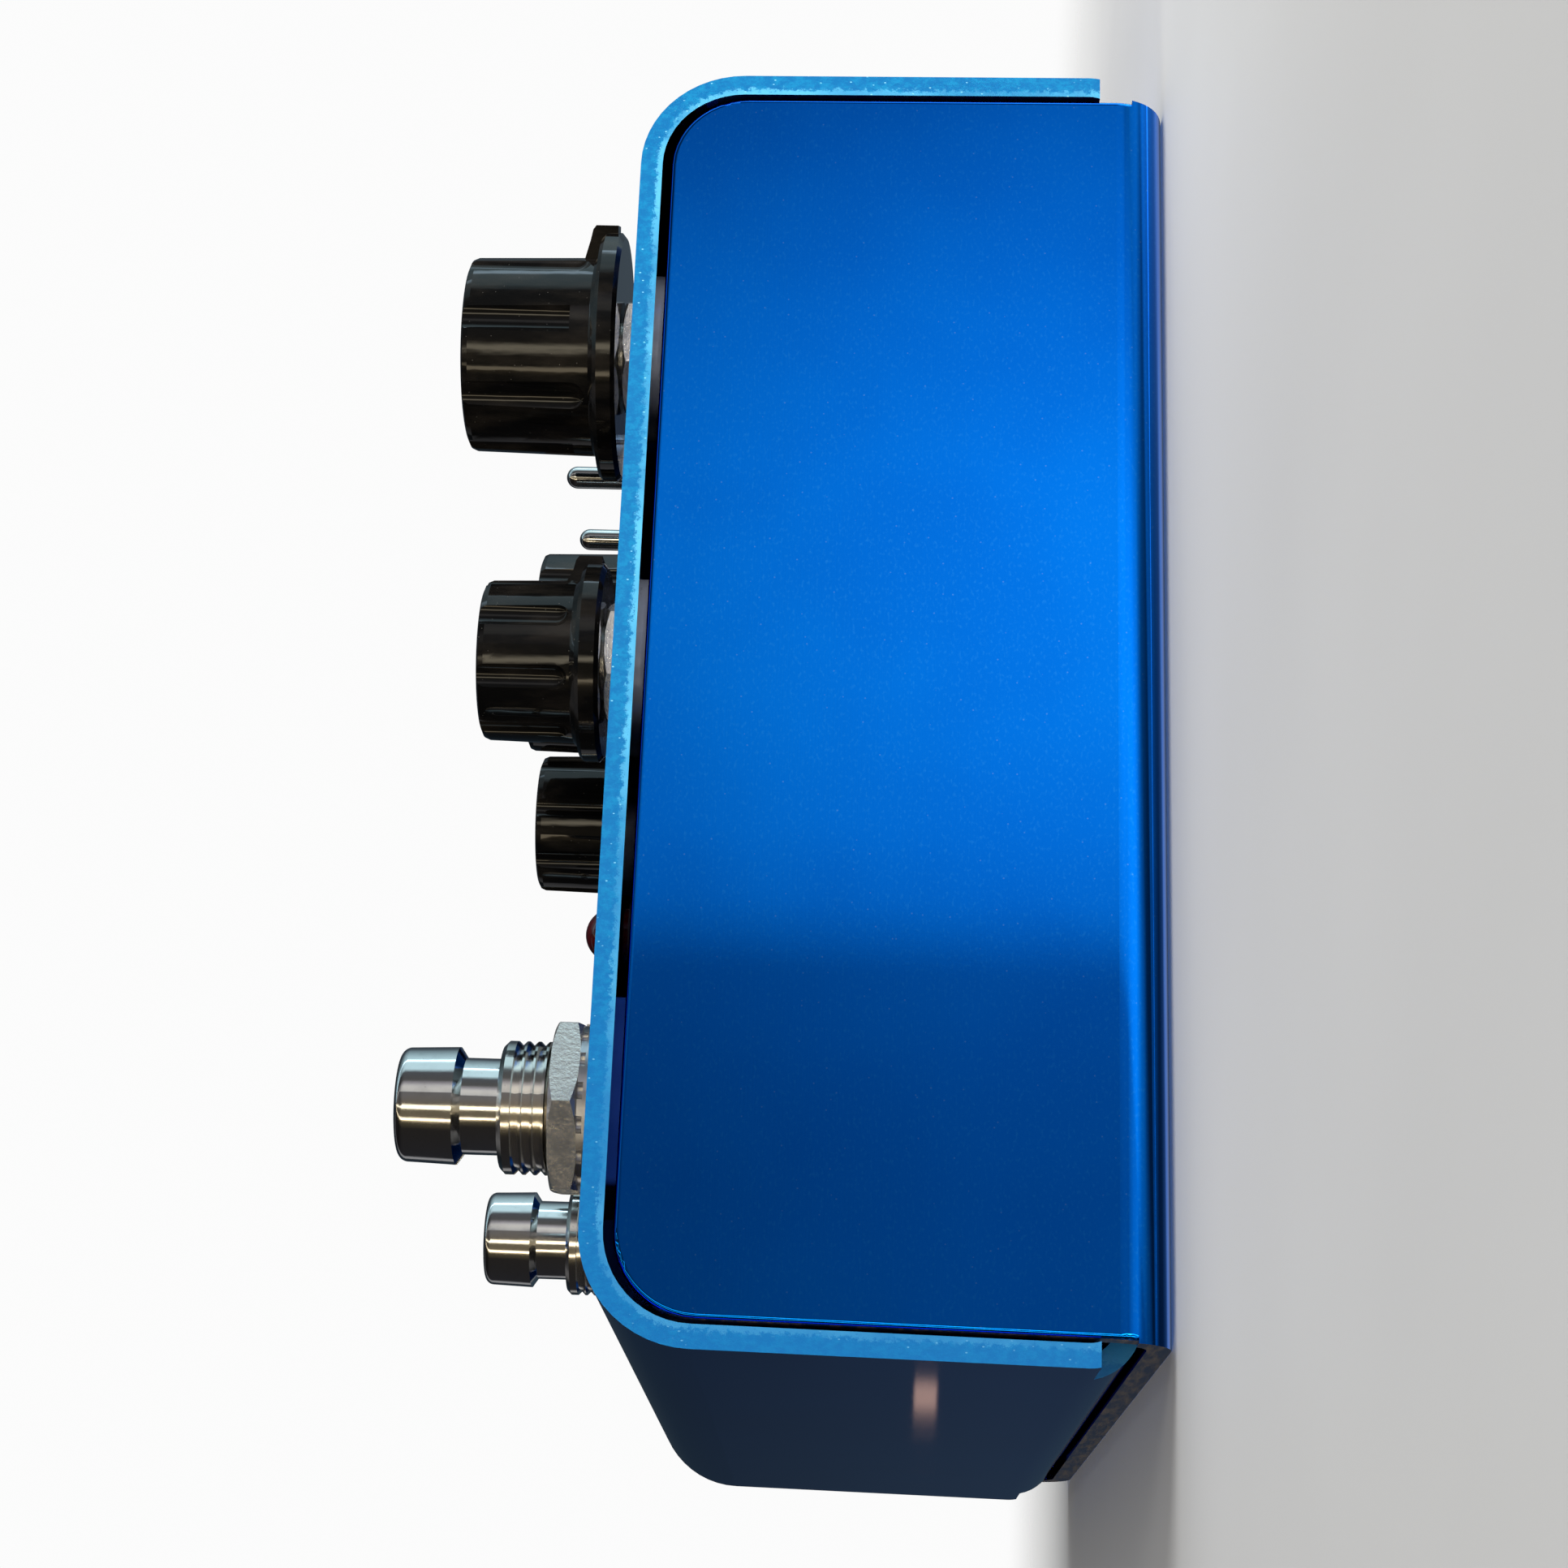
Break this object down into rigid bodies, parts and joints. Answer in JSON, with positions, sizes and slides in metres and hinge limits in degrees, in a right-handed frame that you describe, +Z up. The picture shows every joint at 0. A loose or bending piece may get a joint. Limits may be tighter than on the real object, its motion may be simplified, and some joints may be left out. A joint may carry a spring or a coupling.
{
  "type": "guitar effects pedal",
  "caption": "Low box of two folded blue aluminium sheets with fluted black knobs, small chrome toggles, domed lamps and chrome foot-switches on top and sockets at the back.",
  "frame": {"origin": "middle of the underside of the base plate", "axes": "+X to the player's right, +Y to the back where the sockets are, +Z up out of the control face"},
  "size_m": [0.1146, 0.1222, 0.0671],
  "materials": {
    "black_moulding": "moulded",
    "blue_moulding": "moulded",
    "blue_sheet": "satin blue anodised sheet",
    "blue_sheet_inner": "satin blue anodised sheet",
    "brass": "turned",
    "can_aluminium": "drawn can",
    "chrome": "plated",
    "chrome_cap": "polished",
    "circuit_board": "solder mask",
    "knob_black": "glossy phenolic moulding",
    "red_lens": "clear red lens",
    "red_moulding": "dipped",
    "steel": "zinc-plated",
    "thread_chrome": "threaded, plated",
    "tinned_brass": "tinned"
  },
  "bodies": {
    "case": {"base_chassis": "blue_sheet_inner", "board_screws": "steel", "board_standoffs": "brass", "chips": "black_moulding", "circuit_board": "circuit_board", "cover_screws": "steel", "electrolytic_capacitors": "can_aluminium", "film_capacitors": "red_moulding", "jack_bodies": "black_moulding", "jack_bushings": "chrome", "jack_lugs": "tinned_brass", "jack_nuts": "chrome", "jack_washers": "steel", "lamp_bezels": "black_moulding", "lamp_lenses": "red_lens", "pot_bushings": "chrome", "pot_cans": "can_aluminium", "pot_nuts": "chrome", "pot_terminals": "tinned_brass", "pot_washers": "steel", "power_nut": "black_moulding", "power_pin": "chrome", "power_socket": "black_moulding", "switch_bushings": "thread_chrome", "switch_collars": "steel", "switch_housings": "blue_moulding", "switch_lock_washers": "steel", "switch_lugs": "tinned_brass", "switch_nuts": "chrome", "toggle_bushings": "thread_chrome", "toggle_housings": "blue_moulding", "toggle_nuts": "chrome", "toggle_terminals": "tinned_brass", "toggle_washers": "steel", "top_cover": "blue_sheet"},
    "control_volume_right": {"knob_volume_right": "knob_black", "grub_screw_volume_right": "steel", "shaft_volume_right": "brass"},
    "control_volume_left": {"knob_volume_left": "knob_black", "grub_screw_volume_left": "steel", "shaft_volume_left": "brass"},
    "control_tone_right": {"knob_tone_right": "knob_black", "grub_screw_tone_right": "steel", "shaft_tone_right": "brass"},
    "control_tone_middle": {"knob_tone_middle": "knob_black", "grub_screw_tone_middle": "steel", "shaft_tone_middle": "brass"},
    "control_tone_left": {"knob_tone_left": "knob_black", "grub_screw_tone_left": "steel", "shaft_tone_left": "brass"},
    "toggle_right": {"toggle_lever_right": "chrome_cap"},
    "toggle_left": {"toggle_lever_left": "chrome_cap"},
    "foot_switch_right": {"switch_cap_right": "chrome_cap"},
    "foot_switch_left": {"switch_cap_left": "chrome_cap"}
  },
  "joints": [
    {"name": "turn_volume_right", "type": "hinge", "parent": "case", "child": "control_volume_right", "pos_m": [0.0358, 0.0403, 0.0482], "axis": [0, 0, 1], "range_deg": [-122.5, 177.5]},
    {"name": "turn_volume_left", "type": "hinge", "parent": "case", "child": "control_volume_left", "pos_m": [-0.0358, 0.0403, 0.0482], "axis": [0, 0, 1], "range_deg": [-150, 150]},
    {"name": "turn_tone_right", "type": "hinge", "parent": "case", "child": "control_tone_right", "pos_m": [0.0358, 0.0081, 0.0482], "axis": [0, 0, 1], "range_deg": [-140.5, 159.5]},
    {"name": "turn_tone_middle", "type": "hinge", "parent": "case", "child": "control_tone_middle", "pos_m": [0, 0.0199, 0.0482], "axis": [0, 0, 1], "range_deg": [-150, 150]},
    {"name": "turn_tone_left", "type": "hinge", "parent": "case", "child": "control_tone_left", "pos_m": [-0.018, 0.0097, 0.0482], "axis": [0, 0, 1], "range_deg": [-122.5, 177.5]},
    {"name": "flip_toggle_right", "type": "hinge", "parent": "case", "child": "toggle_right", "pos_m": [0.00815, 0.0403, 0.0495], "axis": [1, 0, 0], "range_deg": [-12, 12]},
    {"name": "flip_toggle_left", "type": "hinge", "parent": "case", "child": "toggle_left", "pos_m": [-0.00815, 0.0403, 0.0495], "axis": [1, 0, 0], "range_deg": [-12, 12]},
    {"name": "press_switch_right", "type": "slide", "parent": "case", "child": "foot_switch_right", "axis": [0, 0, 1], "range_m": [-0.0024, 0], "stiffness_N_per_m": 900, "springref_m": 0.002},
    {"name": "press_switch_left", "type": "slide", "parent": "case", "child": "foot_switch_left", "axis": [0, 0, 1], "range_m": [-0.0024, 0], "stiffness_N_per_m": 900, "springref_m": 0.002}
  ]
}
